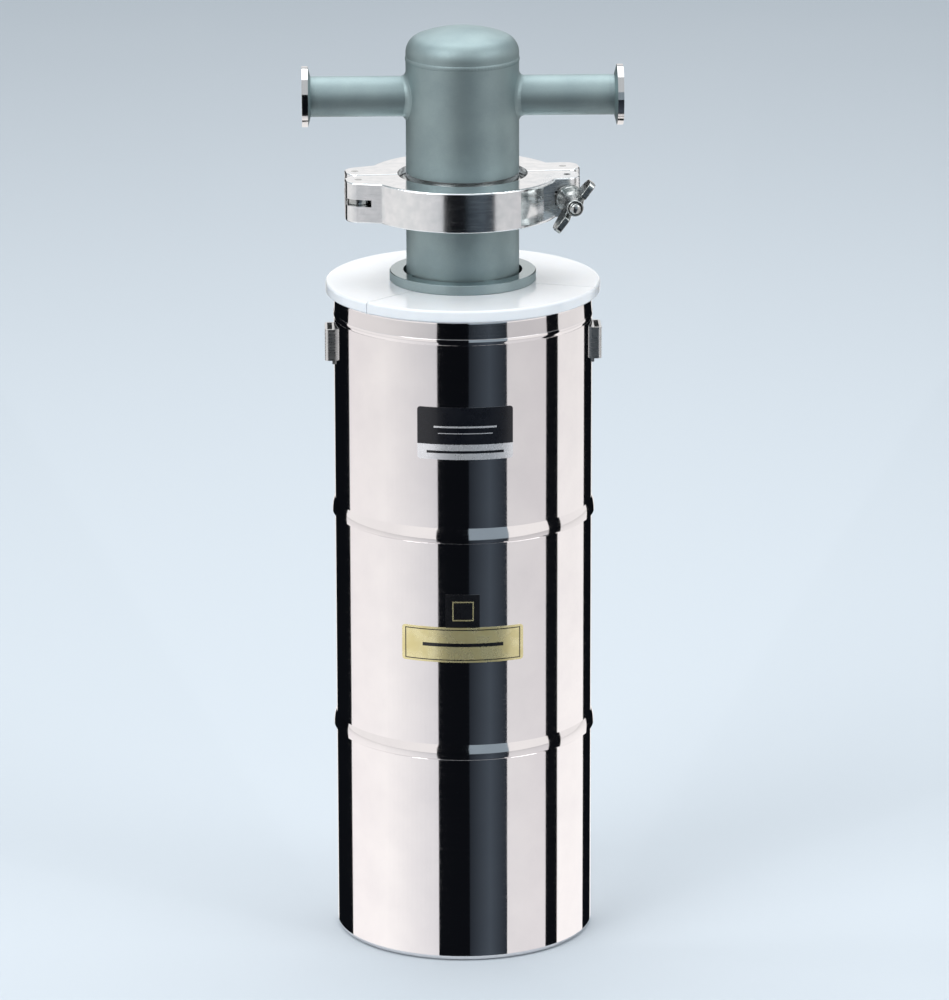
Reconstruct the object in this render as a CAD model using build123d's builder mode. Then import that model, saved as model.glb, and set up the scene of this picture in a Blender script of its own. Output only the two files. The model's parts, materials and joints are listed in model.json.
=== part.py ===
from build123d import *
import os
from math import atan2, cos, degrees, radians, sin, tan

# A cold trap standing in its liquid nitrogen Dewar. Millimetres, +Z up. The origin is the middle of
# the foot, the two arms of the head lie along X, and the wing nut of the clamp is on the -Y side.

# Dewar vessel: two stainless shells with a vacuum between them
shell_radius = 64.5
shell_wall = 1.0
vacuum_gap = 8.7
vessel_wall = 0.8
rim_height = 331.4
foot_bend = 2.5
foot_width = 13.0
lower_bead = 107.0
bead_spacing = 112.0
bead_length = 7.0
bead_proud = 1.3
bead_groove = 0.5
band_height = 11.0
band_wall = 1.2
band_taper = 0.5
rim_bend = 2.0
rim_thickness = 1.5
vessel_floor = 26.0
vessel_dish = 22.0
vessel_knuckle = 12.0
pan_depth = 10.0
pan_wall = 1.0
pan_bend = 3.0
pump_tube_radius = 3.0
pump_tube_length = 5.0
port_cap_radius = 9.0
port_cap_depth = 7.0
port_cap_wall = 1.0
getter_radius = 18.0
getter_depth = 6.0

# Sheet-metal channel brackets, one on each side, measured down from the rim
bracket_drop = 33.9
bracket_height = 16.0
bracket_width = 16.0
bracket_depth = 4.4
bracket_sheet = 1.2
bracket_back = 0.8
bracket_tail = 2.0

# Label plates on the front of the shell, the upper one measured down from the rim and the lower
# one up from the bead below it
label_thickness = 0.3
upper_label_drop = 70.2
upper_label_height = 26.4
upper_label_width = 47.0
upper_label_turn = -0.8
lower_label_rise = 50.0
lower_label_height = 18.0
lower_label_width = 60.0
lower_label_turn = -2.2
tab_height = 17.0
tab_width = 17.0
label_corner = 1.5

# Lid in three sectors, each reaching from one seam to the next
lid_overhang = 3.9
lid_thickness = 5.8
lid_edge = 1.2
lid_bore_clearance = 2.0
seam_gap = 0.4
seam_angles = {"front": (-135.4, -17.8), "right": (-17.8, 103.4), "left": (103.4, 224.6)}

# Trap tube and the collar that carries it on the lid
tube_radius = 28.05
tube_wall = 1.5
trap_floor = 40.0
trap_dish = 14.0
trap_knuckle = 8.0
collar_width = 8.4
collar_thickness = 5.0
collar_gap = 1.6
collar_chamfer = 0.4
tack_overlap = 0.4
tack_angles = (25.0, 115.0, 205.0, 295.0)

# Vacuum joint between the trap and the head
joint_rise = 38.9
joint_gap = 3.8
joint_step = 1.55
joint_recess_step = 1.1
joint_rim_width = 9.45
joint_neck = 9.0
cone_angle = 15.0
rim_depth = 3.0
recess_depth = 2.6
ring_wall = 1.3
ring_clearance = 0.3
o_ring_width = 6.0

# Head above the joint: tube, domed cap, two arms with small flanges, and the dip tube inside
cap_rise = 67.8
cap_skirt = 3.1
cap_dish = 12.5
cap_knuckle = 9.0
cap_weld_height = 2.6
cap_weld_proud = 0.45
arm_rise = 49.0
arm_radius = 10.0
arm_wall = 2.0
port_reach = 79.3
port_recess_step = 0.6
port_rim_width = 5.0
port_neck = 7.0
dip_wall = 1.5
dip_bend_inside = 4.5
dip_end = 80.0

# Hinged clamp, drawn on its own plane at the height of the joint
clamp_turn = 4.5
clamp_height = 20.0
clamp_mouth_clearance = 4.25
clamp_groove_clearance = 2.0
clamp_wall = 8.2
clamp_clearance = 0.3
split_clearance = 0.3
ear_depth = 18.5
ear_taper = 18.0
front_hinge_end = 6.5
back_hinge_end = 4.9
front_bolt_end = 6.0
back_bolt_end = 8.3
ear_corner = 7.0
ear_blend = 7.0
clamp_edge = 0.8
hinge_outset = 5.1
bolt_outset = 3.3
pin_radius = 1.75
pin_clearance = 0.05
link_thickness = 3.0
link_radius = 5.2
link_clearance = 0.25
pocket_start = 24.3
pocket_web = 1.5
pocket_wall = 3.0

# Swing bolt, washer and wing nut
bolt_radius = 3.0
bolt_proud = 1.3
bolt_chamfer = 0.6
eye_wall = 4.25
eye_thickness_extra = 0.4
slot_clearance = 0.4
slot_end_clearance = 1.2
seat_clearance = 0.3
washer_width = 4.0
washer_thickness = 1.5
nut_clearance = 0.05
nut_length = 22.0
nut_base_width = 3.8
nut_base_depth = 3.0
nut_end_width = 1.2
wing_angle = 53.0
wing_span = 30.0
wing_thickness = 2.5
wing_start = 7.0
wing_tip_length = 9.5
wing_front_step = 1.5
wing_front_depth = 4.0
wing_corner = 3.0


def crown_radius(radius, depth, knuckle):
    """Radius of a dished end's crown, tangent to the knuckle and as deep as asked."""
    return (depth**2 + radius**2 - 2 * radius * knuckle) / (2 * (depth - knuckle))


def domed_tube(seam, up, radius, wall, depth, knuckle, length):
    """Tube closed by a dished end, made of a crown and a knuckle that run on from the wall.

    The dish starts at the height of the seam. It stands on the tube where up is 1, and hangs under
    it where up is -1.
    """
    crown = crown_radius(radius, depth, knuckle)
    knuckle_centre = (radius - knuckle, 0)
    crown_centre = (0, depth - crown)
    turn = degrees(atan2(crown - depth, radius - knuckle))
    with BuildPart() as made:
        with BuildSketch(Plane(origin=(0, 0, seam), x_dir=(1, 0, 0), z_dir=(0, -up, 0))):
            with BuildLine():
                CenterArc(knuckle_centre, knuckle, 0, turn)
                CenterArc(crown_centre, crown, turn, 90 - turn)
                Line((0, depth), (0, depth - wall))
                CenterArc(crown_centre, crown - wall, turn, 90 - turn)
                CenterArc(knuckle_centre, knuckle - wall, 0, turn)
                Polyline((radius, 0), (radius, -length), (radius - wall, -length), (radius - wall, 0))
            make_face()
        revolve(axis=Axis.Z)
    return made.part


def clamp_flange(face, bore, recess, tube, rim, neck):
    """Turned flange with its sealing face on the plane and its body on the plane's +Z side."""
    cone_depth = (rim - tube) * tan(radians(cone_angle))
    section = Plane(origin=face.origin, x_dir=face.x_dir, z_dir=-face.y_dir)
    with BuildPart() as made:
        with BuildSketch(section):
            with BuildLine():
                Polyline(
                    (bore, recess_depth),
                    (recess, recess_depth),
                    (recess, 0),
                    (rim, 0),
                    (rim, rim_depth),
                    (tube, rim_depth + cone_depth),
                    (tube, neck),
                    (bore, neck),
                    close=True,
                )
            make_face()
        revolve(axis=Axis(face.origin, face.z_dir))
    return made.part


os.makedirs("parts", exist_ok=True)

# ---------------------------------------------------------------- Dewar vessel

shell_inside = shell_radius - shell_wall
band_low = rim_height - band_height
foot_inside = shell_radius - foot_width
upper_bead = lower_bead + bead_spacing
vessel_outside = shell_inside - vacuum_gap

with BuildPart() as outer_shell:
    with BuildSketch(Plane.XZ):
        with BuildLine():
            Line((foot_inside, 0), (shell_radius - foot_bend, 0))
            RadiusArc((shell_radius - foot_bend, 0), (shell_radius, foot_bend), -foot_bend)
            Line((shell_radius, foot_bend), (shell_radius, band_low))
            Line((shell_radius, band_low), (shell_inside, band_low))
            Line((shell_inside, band_low), (shell_inside, foot_bend))
            RadiusArc(
                (shell_inside, foot_bend),
                (shell_radius - foot_bend, shell_wall),
                foot_bend - shell_wall,
            )
            Line((shell_radius - foot_bend, shell_wall), (foot_inside, shell_wall))
            Line((foot_inside, shell_wall), (foot_inside, 0))
        make_face()
    revolve(axis=Axis.Z)
    for height in (lower_bead, upper_bead):
        with BuildSketch(Plane.XZ):
            with BuildLine():
                Line((shell_inside, height), (shell_radius + bead_proud, height))
                TangentArc(
                    (shell_radius + bead_proud, height),
                    (shell_radius, height + bead_length),
                    tangent=(0, 1),
                )
                Polyline(
                    (shell_radius, height + bead_length),
                    (shell_inside, height + bead_length),
                    (shell_inside, height),
                )
            make_face()
        revolve(axis=Axis.Z)
        with BuildSketch(Plane.XZ):
            with BuildLine():
                Polyline(
                    (shell_radius, height - 2 * bead_groove),
                    (shell_radius + bead_groove, height),
                    (shell_radius - bead_groove, height),
                    close=True,
                )
            make_face()
        revolve(axis=Axis.Z, mode=Mode.SUBTRACT)
outer_shell.part.label = "outer_shell"
export_step(outer_shell.part, "parts/outer_shell.step")

with BuildPart() as neck_ring:
    band_top_radius = shell_radius - band_taper
    with BuildSketch(Plane.XZ) as band_section:
        with BuildLine():
            Polyline(
                (shell_radius, band_low),
                (band_top_radius, rim_height),
                (vessel_outside, rim_height),
                (vessel_outside, rim_height - rim_thickness),
                (band_top_radius - band_wall, rim_height - rim_thickness),
                (shell_radius - band_wall, band_low),
                close=True,
            )
        make_face()
        rim_corner = band_section.vertices().group_by(Axis.Y)[-1].sort_by(Axis.X)[-1]
        fillet(rim_corner, radius=rim_bend)
    revolve(axis=Axis.Z)
neck_ring.part.label = "neck_ring"
export_step(neck_ring.part, "parts/neck_ring.step")

vessel_seam = vessel_floor + vessel_dish
inner_vessel = domed_tube(
    vessel_seam, -1, vessel_outside, vessel_wall, vessel_dish, vessel_knuckle, rim_height - vessel_seam
)
inner_vessel.label = "inner_vessel"
export_step(inner_vessel, "parts/inner_vessel.step")

with BuildPart() as base_pan:
    with BuildSketch(Plane.XZ) as pan_section:
        with BuildLine():
            Polyline(
                (0, pan_depth),
                (foot_inside, pan_depth),
                (foot_inside, 0),
                (foot_inside - pan_wall, 0),
                (foot_inside - pan_wall, pan_depth - pan_wall),
                (0, pan_depth - pan_wall),
                close=True,
            )
        make_face()
        pan_corners = pan_section.vertices().filter_by(lambda corner: corner.X > 0 and corner.Y > 0)
        fillet(pan_corners.sort_by(Axis.X)[-1], radius=pan_bend)
        fillet(
            pan_section.vertices().filter_by_position(
                Axis.Y, pan_depth - 1.5 * pan_wall, pan_depth - 0.5 * pan_wall
            ).sort_by(Axis.X)[-1],
            radius=pan_bend - pan_wall,
        )
    revolve(axis=Axis.Z)
base_pan.part.label = "base_pan"
export_step(base_pan.part, "parts/base_pan.step")

with BuildPart() as evacuation_tube:
    pan_underside = pan_depth - pan_wall
    with BuildSketch(Plane.XY.offset(pan_underside)):
        Circle(pump_tube_radius)
    extrude(amount=-pump_tube_length)
    nipped_edge = evacuation_tube.edges().group_by(Axis.Z)[0]
    fillet(nipped_edge, radius=pump_tube_radius / 3)
evacuation_tube.part.label = "evacuation_tube"
export_step(evacuation_tube.part, "parts/evacuation_tube.step")

with BuildPart() as port_cap:
    with BuildSketch(Plane.XY.offset(pan_underside)):
        Circle(port_cap_radius)
    extrude(amount=-port_cap_depth)
    fillet(port_cap.edges().group_by(Axis.Z)[0], radius=port_cap_wall)
    with BuildSketch(Plane.XY.offset(pan_underside)):
        Circle(port_cap_radius - port_cap_wall)
    extrude(amount=port_cap_wall - port_cap_depth, mode=Mode.SUBTRACT)
port_cap.part.label = "port_cap"
export_step(port_cap.part, "parts/port_cap.step")

with BuildPart() as getter_can:
    with BuildSketch(Plane.XY.offset(vessel_floor - getter_depth)):
        Circle(getter_radius)
    extrude(amount=getter_depth + vessel_dish / 2)
    vessel_crown = crown_radius(vessel_outside, vessel_dish, vessel_knuckle)
    with Locations((0, 0, vessel_floor + vessel_crown)):
        Sphere(vessel_crown, mode=Mode.SUBTRACT)
getter_can.part.label = "getter_can"
export_step(getter_can.part, "parts/getter_can.step")

bracket_low = rim_height - bracket_drop
bracket_face = shell_radius + bracket_depth

for name, turn in (("right_bracket", 0), ("left_bracket", 180)):
    with BuildPart() as bracket:
        side_plane = Plane.XY.offset(bracket_low).rotated((0, 0, turn))
        with BuildSketch(side_plane) as channel:
            with Locations((bracket_face - bracket_depth, 0)):
                Rectangle(2 * bracket_depth, bracket_width)
            fillet(channel.vertices().sort_by(Axis.X)[-2:], radius=1.5 * bracket_sheet)
            with Locations(((shell_radius + bracket_back + bracket_face - bracket_sheet) / 2, 0)):
                Rectangle(
                    bracket_depth - bracket_back - bracket_sheet,
                    bracket_width - 2 * bracket_sheet,
                    mode=Mode.SUBTRACT,
                )
        extrude(amount=bracket_height)
        with BuildSketch(side_plane.offset(-bracket_tail)):
            with Locations((shell_radius, 0)):
                Rectangle(2 * bracket_back, bracket_width - 2 * bracket_sheet)
        extrude(amount=bracket_tail)
        with BuildSketch(side_plane.offset(-bracket_tail)):
            Circle(shell_radius)
        extrude(amount=bracket_height + bracket_tail, mode=Mode.SUBTRACT)
    bracket.part.label = name
    export_step(bracket.part, f"parts/{name}.step")

upper_label_low = rim_height - upper_label_drop
lower_label_low = lower_bead + lower_label_rise


def facing(turn):
    """Upright plane through the vessel's axis, turned by degrees from the front."""
    angle = radians(turn)
    return Plane(
        origin=(0, 0, 0), x_dir=(cos(angle), sin(angle), 0), z_dir=(sin(angle), -cos(angle), 0)
    )


with BuildPart() as upper_label:
    with BuildSketch(Plane.XY.offset(upper_label_low)):
        Circle(shell_radius + label_thickness)
        Circle(shell_radius, mode=Mode.SUBTRACT)
    extrude(amount=upper_label_height)
    with BuildSketch(facing(upper_label_turn)):
        with Locations((0, upper_label_low + upper_label_height / 2)):
            RectangleRounded(upper_label_width, upper_label_height, label_corner)
    extrude(amount=2 * shell_radius, mode=Mode.INTERSECT)
upper_label.part.label = "upper_label"
export_step(upper_label.part, "parts/upper_label.step")

with BuildPart() as lower_label:
    with BuildSketch(Plane.XY.offset(lower_label_low)):
        Circle(shell_radius + label_thickness)
        Circle(shell_radius, mode=Mode.SUBTRACT)
    extrude(amount=lower_label_height + tab_height)
    with BuildSketch(facing(lower_label_turn)):
        with Locations((0, lower_label_low + lower_label_height / 2)):
            RectangleRounded(lower_label_width, lower_label_height, label_corner)
        with Locations((0, lower_label_low + lower_label_height + tab_height / 2)):
            Rectangle(tab_width, tab_height)
    extrude(amount=2 * shell_radius, mode=Mode.INTERSECT)
lower_label.part.label = "lower_label"
export_step(lower_label.part, "parts/lower_label.step")

# ---------------------------------------------------------------- Lid

lid_radius = shell_radius + lid_overhang
lid_bore = tube_radius + lid_bore_clearance
lid_top = rim_height + lid_thickness

for side, (start, end) in seam_angles.items():
    half_angle = radians(end - start) / 2
    apex = seam_gap / 2 / sin(half_angle)
    reach = 3 * lid_radius
    with BuildPart() as segment:
        with BuildSketch(Plane.XY.offset(rim_height)):
            Circle(lid_radius)
            Circle(lid_bore, mode=Mode.SUBTRACT)
        extrude(amount=lid_thickness)
        outer_edges = segment.edges().filter_by(GeomType.CIRCLE).sort_by(SortBy.RADIUS)[-2:]
        fillet(outer_edges, radius=lid_edge)
        with BuildSketch(Plane.XY.offset(rim_height).rotated((0, 0, (start + end) / 2))):
            with BuildLine():
                Polyline(
                    (apex, 0),
                    (apex + reach * cos(half_angle), reach * sin(half_angle)),
                    (apex + reach * cos(half_angle), -reach * sin(half_angle)),
                    close=True,
                )
            make_face()
        extrude(amount=lid_thickness, mode=Mode.INTERSECT)
    segment.part.label = f"lid_segment_{side}"
    export_step(segment.part, f"parts/lid_segment_{side}.step")

# ---------------------------------------------------------------- Trap

joint_height = lid_top + collar_thickness + joint_rise
joint_bore = tube_radius - tube_wall - joint_step
joint_recess = joint_bore + joint_recess_step
joint_rim = tube_radius + joint_rim_width
lower_face = Plane(origin=(0, 0, joint_height - joint_gap / 2), x_dir=(1, 0, 0), z_dir=(0, 0, -1))
upper_face = Plane.XY.offset(joint_height + joint_gap / 2)
trap_top = lower_face.origin.Z - joint_neck

trap_seam = trap_floor + trap_dish
trap_tube = domed_tube(
    trap_seam, -1, tube_radius, tube_wall, trap_dish, trap_knuckle, trap_top - trap_seam
)
trap_tube.label = "trap_tube"
export_step(trap_tube, "parts/trap_tube.step")

with BuildPart() as collar:
    with BuildSketch(Plane.XY.offset(lid_top)):
        Circle(tube_radius + collar_width)
        Circle(tube_radius + collar_gap, mode=Mode.SUBTRACT)
    extrude(amount=collar_thickness)
    chamfer(collar.edges().filter_by(GeomType.CIRCLE).sort_by(SortBy.RADIUS)[-2:], length=collar_chamfer)
    with BuildSketch(Plane.XY.offset(lid_top + collar_thickness / 2)):
        for angle in tack_angles:
            with PolarLocations(tube_radius + collar_gap, 1, start_angle=angle):
                Circle(collar_gap + tack_overlap)
        Circle(tube_radius, mode=Mode.SUBTRACT)
    extrude(amount=collar_thickness / 2)
collar.part.label = "collar"
export_step(collar.part, "parts/collar.step")

lower_flange = clamp_flange(
    lower_face, joint_bore, joint_recess, tube_radius, joint_rim, joint_neck
)
lower_flange.label = "lower_flange"
export_step(lower_flange, "parts/lower_flange.step")

with BuildPart() as centring_ring:
    ring_outside = joint_recess - ring_clearance
    sleeve_half = joint_gap / 2 + recess_depth - ring_clearance
    land_half = joint_gap / 2 - ring_clearance
    o_ring_inside = ring_outside + ring_wall
    with BuildSketch(Plane.XY.offset(joint_height - sleeve_half)):
        Circle(ring_outside)
        Circle(ring_outside - ring_wall, mode=Mode.SUBTRACT)
    extrude(amount=2 * sleeve_half)
    with BuildSketch(Plane.XY.offset(joint_height - land_half)):
        Circle(o_ring_inside)
        Circle(ring_outside - ring_wall, mode=Mode.SUBTRACT)
    extrude(amount=2 * land_half)
centring_ring.part.label = "centring_ring"
export_step(centring_ring.part, "parts/centring_ring.step")

with BuildPart() as o_ring:
    with BuildSketch(Plane.XZ):
        with Locations((o_ring_inside + o_ring_width / 2, joint_height)):
            SlotOverall(o_ring_width, joint_gap)
    revolve(axis=Axis.Z)
o_ring.part.label = "o_ring"
export_step(o_ring.part, "parts/o_ring.step")

# ---------------------------------------------------------------- Head

upper_flange = clamp_flange(
    upper_face, joint_bore, joint_recess, tube_radius, joint_rim, joint_neck
)
upper_flange.label = "upper_flange"
export_step(upper_flange, "parts/upper_flange.step")

arm_height = joint_height + arm_rise
cap_seam = joint_height + cap_rise
arm_bore = arm_radius - arm_wall
head_low = upper_face.origin.Z + joint_neck

with BuildPart() as head_tube:
    with BuildSketch(Plane.XY.offset(head_low)):
        Circle(tube_radius)
        Circle(tube_radius - tube_wall, mode=Mode.SUBTRACT)
    extrude(amount=cap_seam - head_low)
    with BuildSketch(Plane.YZ):
        with Locations((0, arm_height)):
            Circle(arm_bore)
    extrude(amount=2 * tube_radius, both=True, mode=Mode.SUBTRACT)
head_tube.part.label = "head_tube"
export_step(head_tube.part, "parts/head_tube.step")

dome_cap = domed_tube(
    cap_seam + cap_skirt, 1, tube_radius, tube_wall, cap_dish, cap_knuckle, cap_skirt
)
dome_cap.label = "dome_cap"
export_step(dome_cap, "parts/dome_cap.step")

with BuildPart() as cap_weld:
    with BuildSketch(Plane.XZ):
        with BuildLine():
            low_end = (tube_radius, cap_seam - cap_weld_height / 2)
            high_end = (tube_radius, cap_seam + cap_weld_height / 2)
            SagittaArc(low_end, high_end, -cap_weld_proud)
            Line(high_end, low_end)
        make_face()
    revolve(axis=Axis.Z)
cap_weld.part.label = "cap_weld"
export_step(cap_weld.part, "parts/cap_weld.step")

for side, outward in (("left", -1), ("right", 1)):
    with BuildPart() as arm:
        with BuildSketch(Plane.YZ.offset(outward * (port_reach - port_neck))):
            with Locations((0, arm_height)):
                Circle(arm_radius)
                Circle(arm_bore, mode=Mode.SUBTRACT)
        extrude(amount=-outward * (port_reach - port_neck - tube_radius / 2))
        with BuildSketch(Plane.XY.offset(arm_height - 2 * arm_radius)):
            Circle(tube_radius)
        extrude(amount=4 * arm_radius, mode=Mode.SUBTRACT)
    arm.part.label = f"{side}_arm"
    export_step(arm.part, f"parts/{side}_arm.step")

    port = Plane(
        origin=(outward * port_reach, 0, arm_height), x_dir=(0, 0, 1), z_dir=(-outward, 0, 0)
    )
    port_flange = clamp_flange(
        port, arm_bore, arm_bore + port_recess_step, arm_radius, arm_radius + port_rim_width, port_neck
    )
    port_flange.label = f"{side}_port_flange"
    export_step(port_flange, f"parts/{side}_port_flange.step")

dip_radius = arm_bore + dip_wall
dip_bend = dip_radius + dip_bend_inside

with BuildPart() as dip_tube:
    with BuildLine(Plane.XZ) as dip_route:
        FilletPolyline((-tube_radius, arm_height), (0, arm_height), (0, dip_end), radius=dip_bend)
    with BuildSketch(Plane(origin=dip_route.line @ 0, z_dir=dip_route.line % 0)):
        Circle(dip_radius)
        Circle(dip_radius - dip_wall, mode=Mode.SUBTRACT)
    sweep()
    with BuildSketch(Plane.XY.offset(dip_end)):
        Circle(tube_radius - tube_wall)
    extrude(amount=cap_seam - dip_end, mode=Mode.INTERSECT)
dip_tube.part.label = "dip_tube"
export_step(dip_tube.part, "parts/dip_tube.step")

# ---------------------------------------------------------------- Clamp

clamp_plane = Plane.XY.offset(joint_height).rotated((0, 0, clamp_turn))
clamp_section = Plane(
    origin=clamp_plane.origin, x_dir=clamp_plane.x_dir, z_dir=-clamp_plane.y_dir
)
clamp_mouth = tube_radius + clamp_mouth_clearance
clamp_groove = joint_rim + clamp_groove_clearance
clamp_radius = clamp_groove + clamp_wall
hinge_x = -clamp_radius - hinge_outset
bolt_x = clamp_radius + bolt_outset
ear_reach = bolt_x + back_bolt_end
pin_depth = (ear_depth + split_clearance) / 2
hole_radius = pin_radius + pin_clearance
link_slot = link_thickness + 2 * link_clearance
eye_radius = pin_radius + eye_wall
eye_thickness = 2 * bolt_radius + eye_thickness_extra
bolt_slot = eye_thickness + 2 * slot_clearance


def flank_height(radius):
    """Height above the joint of the groove's flank, just clear of the flange's cone."""
    rim_top = joint_gap / 2 + rim_depth + clamp_clearance / cos(radians(cone_angle))
    return rim_top + (joint_rim - radius) * tan(radians(cone_angle))


def clamp_half(side, hinge_end, bolt_end):
    """Cast half of the clamp: side is 1 for the back half and -1 for the front half.

    The ends are how far its two ears reach beyond the middles of their pins. The ear at the hinge
    tapers towards its end.
    """
    half_height = clamp_height / 2
    over = half_height + 1
    hinge_reach = hinge_x - hinge_end
    bolt_reach = bolt_x + bolt_end
    taper = tan(radians(ear_taper))
    ring_x = clamp_radius / 2
    with BuildPart() as half:
        with BuildSketch(clamp_plane.offset(-half_height)) as outline:
            Circle(clamp_radius)
            with BuildLine():
                Polyline(
                    (hinge_reach, 0),
                    (hinge_reach, side * (ear_depth - taper * hinge_end)),
                    (-ring_x, side * (ear_depth - taper * (ring_x + hinge_x))),
                    (ring_x, side * ear_depth),
                    (bolt_reach, side * ear_depth),
                    (bolt_reach, 0),
                    close=True,
                )
            make_face()
            with Locations((0, side * (split_clearance + ear_reach))):
                Rectangle(4 * ear_reach, 2 * ear_reach, mode=Mode.INTERSECT)
            ends = outline.vertices().filter_by(lambda corner: abs(corner.X) > clamp_radius)
            blends = outline.vertices().filter_by(lambda corner: abs(corner.X) < clamp_radius)
            fillet(ends, radius=ear_corner)
            fillet(blends, radius=ear_blend)
        extrude(amount=clamp_height)
        rims = half.faces().filter_by(Axis.Z).edges()
        fillet(rims.filter_by(lambda edge: abs(clamp_plane.to_local_coords(edge.center()).Y)
                              > split_clearance + 0.01), radius=clamp_edge)
        with BuildSketch(clamp_section):
            with BuildLine():
                Polyline(
                    (0, -over),
                    (clamp_mouth, -over),
                    (clamp_mouth, -flank_height(clamp_mouth)),
                    (clamp_groove, -flank_height(clamp_groove)),
                    (clamp_groove, flank_height(clamp_groove)),
                    (clamp_mouth, flank_height(clamp_mouth)),
                    (clamp_mouth, over),
                    (0, over),
                    close=True,
                )
            make_face()
        revolve(axis=Axis(clamp_plane.origin, clamp_plane.z_dir), mode=Mode.SUBTRACT)
        with BuildSketch(clamp_plane):
            with Locations((hinge_x - link_radius, 0)):
                Rectangle(2 * (2 * link_radius + link_clearance), 2 * ear_reach)
        extrude(amount=link_slot / 2, both=True, mode=Mode.SUBTRACT)
        with BuildSketch(clamp_plane):
            slot_reach = eye_radius + slot_end_clearance
            with Locations((bolt_x + slot_reach, 0)):
                Rectangle(4 * slot_reach, 2 * ear_reach)
        extrude(amount=bolt_slot / 2, both=True, mode=Mode.SUBTRACT)
        with BuildSketch(clamp_plane):
            with Locations((hinge_x, side * pin_depth), (bolt_x, side * pin_depth)):
                Circle(hole_radius)
        extrude(amount=over, both=True, mode=Mode.SUBTRACT)
    return half


with BuildPart() as clamp_back:
    add(clamp_half(1, back_hinge_end, back_bolt_end).part)
clamp_back.part.label = "clamp_back"
export_step(clamp_back.part, "parts/clamp_back.step")

with BuildPart() as clamp_front:
    add(clamp_half(-1, front_hinge_end, front_bolt_end).part)
    with BuildSketch(clamp_plane):
        with Locations((pocket_start + clamp_radius, -ear_depth - clamp_radius)):
            Rectangle(2 * clamp_radius, 2 * clamp_radius)
        Circle(clamp_groove + pocket_wall, mode=Mode.SUBTRACT)
    extrude(amount=clamp_height / 2 - pocket_web, both=True, mode=Mode.SUBTRACT)
clamp_front.part.label = "clamp_front"
export_step(clamp_front.part, "parts/clamp_front.step")

with BuildPart() as link_plate:
    with BuildSketch(clamp_plane):
        with Locations((hinge_x, 0)):
            SlotCenterToCenter(2 * pin_depth, 2 * link_radius, rotation=90)
        with Locations((hinge_x, pin_depth), (hinge_x, -pin_depth)):
            Circle(hole_radius, mode=Mode.SUBTRACT)
    extrude(amount=link_thickness / 2, both=True)
link_plate.part.label = "link_plate"
export_step(link_plate.part, "parts/link_plate.step")

with BuildPart() as hinge_pins:
    with BuildSketch(clamp_plane):
        with Locations((hinge_x, pin_depth), (hinge_x, -pin_depth)):
            Circle(pin_radius)
    extrude(amount=clamp_height / 2, both=True)
hinge_pins.part.label = "hinge_pins"
export_step(hinge_pins.part, "parts/hinge_pins.step")

with BuildPart() as pivot_pin:
    with BuildSketch(clamp_plane):
        with Locations((bolt_x, pin_depth)):
            Circle(pin_radius)
    extrude(amount=clamp_height / 2, both=True)
pivot_pin.part.label = "pivot_pin"
export_step(pivot_pin.part, "parts/pivot_pin.step")

# ---------------------------------------------------------------- Swing bolt and wing nut

bolt_pivot = clamp_plane.from_local_coords((bolt_x, pin_depth, 0))
bolt_axis = Plane(origin=bolt_pivot, x_dir=clamp_plane.x_dir, z_dir=-clamp_plane.y_dir)
washer_seat = pin_depth + ear_depth + seat_clearance
nut_seat = washer_seat + washer_thickness
bolt_length = nut_seat + nut_length + bolt_proud

with BuildPart() as swing_bolt:
    with BuildSketch(clamp_plane):
        with Locations((bolt_x, pin_depth)):
            Circle(eye_radius)
    extrude(amount=eye_thickness / 2, both=True)
    with BuildSketch(bolt_axis):
        Circle(bolt_radius)
    extrude(amount=bolt_length)
    bolt_end = swing_bolt.faces().sort_by(Axis(bolt_pivot, bolt_axis.z_dir))[-1]
    chamfer(bolt_end.edges(), length=bolt_chamfer)
    with BuildSketch(clamp_plane):
        with Locations((bolt_x, pin_depth)):
            Circle(hole_radius)
    extrude(amount=eye_thickness, both=True, mode=Mode.SUBTRACT)
swing_bolt.part.label = "swing_bolt"
export_step(swing_bolt.part, "parts/swing_bolt.step")

with BuildPart() as nut_washer:
    with BuildSketch(bolt_axis.offset(washer_seat)):
        Circle(bolt_radius + washer_width)
        Circle(bolt_radius + nut_clearance, mode=Mode.SUBTRACT)
    extrude(amount=washer_thickness)
nut_washer.part.label = "nut_washer"
export_step(nut_washer.part, "parts/nut_washer.step")

nut_origin = bolt_axis.offset(nut_seat).origin
nut_base_radius = bolt_radius + nut_base_width
nut_end_radius = bolt_radius + nut_end_width
wing_direction = (
    clamp_plane.x_dir * cos(radians(wing_angle)) + clamp_plane.z_dir * sin(radians(wing_angle))
)
nut_plane = Plane(origin=nut_origin, x_dir=wing_direction, z_dir=bolt_axis.z_dir)
nut_section = Plane(origin=nut_origin, x_dir=wing_direction, z_dir=-nut_plane.y_dir)
wing_tip = wing_span / 2

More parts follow.
